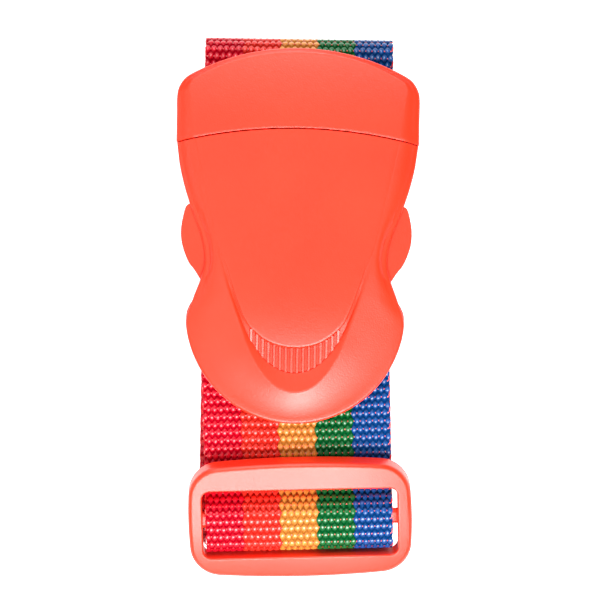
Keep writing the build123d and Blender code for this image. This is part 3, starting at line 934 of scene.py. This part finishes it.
def make_cap():
    """The male half's cap: broad arc at the top, straight flanks with soft creases."""
    steps = 8
    top = buckle_top
    arc_radius = 59.6
    arc_centre = cap_top_y - arc_radius
    corner_radius = 7.0
    corner_x = cap_half_width - corner_radius
    corner_y = arc_centre + math.sqrt((arc_radius - corner_radius) ** 2 - corner_x**2)
    corner_turn = math.atan2(corner_y - arc_centre, corner_x)
    low_y = parting_y(cap_half_width) + parting_gap
    keys = [(cap_half_width, between(low_y, corner_y, share)) for share in (0, 0.33, 0.67, 1.0)]
    for share in (0.33, 0.67, 1.0):
        angle = corner_turn * share
        keys.append((corner_x + corner_radius * math.cos(angle), corner_y + corner_radius * math.sin(angle)))
    last_x = keys[-1][0]
    for share in (0.85, 0.68, 0.5, 0.33, 0.16, 0.0):
        x = last_x * share
        keys.append((x, arc_centre + math.sqrt(arc_radius**2 - x * x)))
    outline = smooth_curve(keys, steps)
    normals = outward(outline, -1)
    inset_keys = [5.4, 4.9, 4.3, 3.9, 3.3, 2.7, 2.2, 1.8, 1.5, 1.4, 1.3, 1.3, 1.3]
    crease = outline - normals * along_keys(inset_keys, steps)[:, None]
    meet_parting(crease, parting_gap)
    crease[-1, 0] = 0
    spine_end = 58.0
    share = (crease[:, 1] - crease[0, 1]) / (crease[-1, 1] - crease[0, 1])
    spine_y = parting_centre_y + parting_gap + (spine_end - parting_centre_y) * share
    spine = np.column_stack([0 * share, spine_y])

    def face_height(plan):
        fall = np.clip((plan[:, 1] - 48.0) / 20.0, 0, 1)
        return top - 0.2 * (plan[:, 0] / 28.0) ** 2 - 1.2 * fall**2

    crease_z = face_height(crease)
    rim_keys = [-2.2, -2.1, -2.0, -1.85, -1.7, -1.6, -1.5, -1.45, -1.4, -1.4, -1.4, -1.4, -1.4]
    rim_z = top + along_keys(rim_keys, steps)
    rings = []
    for face_share in (0.0, 0.25, 0.5, 0.72, 0.88, 0.97):
        plan = between(spine, crease, face_share)
        rings.append(with_height(plan, face_height(plan)))
    rings.append(with_height(crease, crease_z))
    edge_keys = [0.9, 0.9, 0.9, 0.85, 0.8, 0.75, 0.7, 0.65, 0.6, 0.6, 0.6, 0.6, 0.6]
    rim_inset = along_keys(edge_keys, steps)
    edge = outline - normals * rim_inset[:, None]
    for out_share in (0.06, 0.2, 0.4, 0.6, 0.8):
        plan = between(crease, edge, out_share)
        rings.append(with_height(plan, between(crease_z, rim_z, out_share**1.8)))
    rings += rounded_rim(outline, normals, rim_z, rim_inset, drop=0.9)
    break_parting_edge(rings, gap=parting_gap, across=0.45, drop=0.13)
    x = outline[:, 0]
    at_exit = (x < slot_half_width + 0.2) & (outline[:, 1] > 58)
    low_edge = np.where(at_exit, male_bar[1] + 3.9, buckle_base)
    inner = outline - normals * wall
    inner[0, 0] = outline[0, 0] - wall

    def roof(plan):
        return np.full(len(plan), pocket_roof)

    piece = cover("male_cap_cover", rings, low_edge, roof, inner, spine, gap=0.05)
    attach(piece, "male_half")
    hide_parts("male_cap")


def soften(node, width, material=None):
    """Round a CAD node's sharp edges and give it its finish."""
    piece = nodes[node]
    piece.data.materials.clear()
    piece.data.materials.append(material or plastic)
    if width:
        bevel = piece.modifiers.new("rounded_edges", "BEVEL")
        bevel.width = width * mm
        bevel.segments = 3
        bevel.limit_method = "ANGLE"
        bevel.angle_limit = math.radians(40)


# ====================================================================================== studio
def area_light(name, place, width, height, power):
    """A softbox aimed at the buckle; places are in metres."""
    target = (0, 0, 0.03)
    data = bpy.data.lights.new(name, "AREA")
    data.shape = "RECTANGLE"
    data.size = width
    data.size_y = height
    data.energy = power
    light = bpy.data.objects.new(name, data)
    bpy.context.scene.collection.objects.link(light)
    light.location = place
    light.rotation_euler = (Vector(target) - Vector(place)).to_track_quat("-Z", "Y").to_euler()


def make_studio():
    """White world, softboxes all round but the right, and a pale floor under the strap."""
    world = bpy.data.worlds.new("studio")
    bpy.context.scene.world = world
    world.use_nodes = True
    background = world.node_tree.nodes["Background"]
    background.inputs["Color"].default_value = (1.0, 1.0, 1.0, 1.0)
    background.inputs["Strength"].default_value = 0.07
    area_light("key_softbox", (0.07, -0.46, 0.55), 0.46, 0.30, 10.8)
    area_light("back_softbox", (0.02, 0.48, 0.70), 0.24, 0.24, 3.4)
    area_light("rear_softbox", (-0.10, 0.65, 0.35), 0.40, 0.30, 2.0)
    area_light("side_softbox", (-0.55, -0.05, 0.42), 0.24, 0.24, 0.5)
    area_light("sky_softbox", (-0.32, 0.12, 0.72), 0.50, 0.50, 0.8)
    mesh = bpy.data.meshes.new("floor")
    half = 3.0
    corners = [(-half, -half, 0), (half, -half, 0), (half, half, 0), (-half, half, 0)]
    mesh.from_pydata(corners, [], [[0, 1, 2, 3]])
    mesh.materials.append(floor_paint())
    floor = bpy.data.objects.new("floor", mesh)
    floor.location = (0, 0, -0.0002)
    bpy.context.scene.collection.objects.link(floor)


def make_camera():
    """Straight down on the strap, from a metre away."""
    data = bpy.data.cameras.new("camera")
    camera = bpy.data.objects.new("camera", data)
    bpy.context.scene.collection.objects.link(camera)
    distance = 1.0
    frame_width = 0.15873  # what the picture takes in at the buckle's height
    data.sensor_width = 36.0
    data.lens = data.sensor_width * distance / frame_width
    data.clip_start = 0.01
    camera.location = (0.00124, 0.0023, 0.030 + distance)
    camera.rotation_euler = (0, 0, math.radians(0.9))
    bpy.context.scene.camera = camera


make_camera()
make_studio()
make_webbing()
make_female_front()
make_cap()
for node, rounding in (("female_rear_shell", 0.3), ("male_frame", 0.2)):
    soften(node, rounding)
soften("slider_frame", 0.45, slider_plastic)
for node in ("latch_arm_left", "latch_arm_right"):
    soften(node, 0.9)
for node in ("male_end_stitches", "slider_end_stitches"):
    soften(node, 0, coral_yarn)

view = bpy.context.scene.view_settings
view.view_transform = "Standard"
view.look = "None"
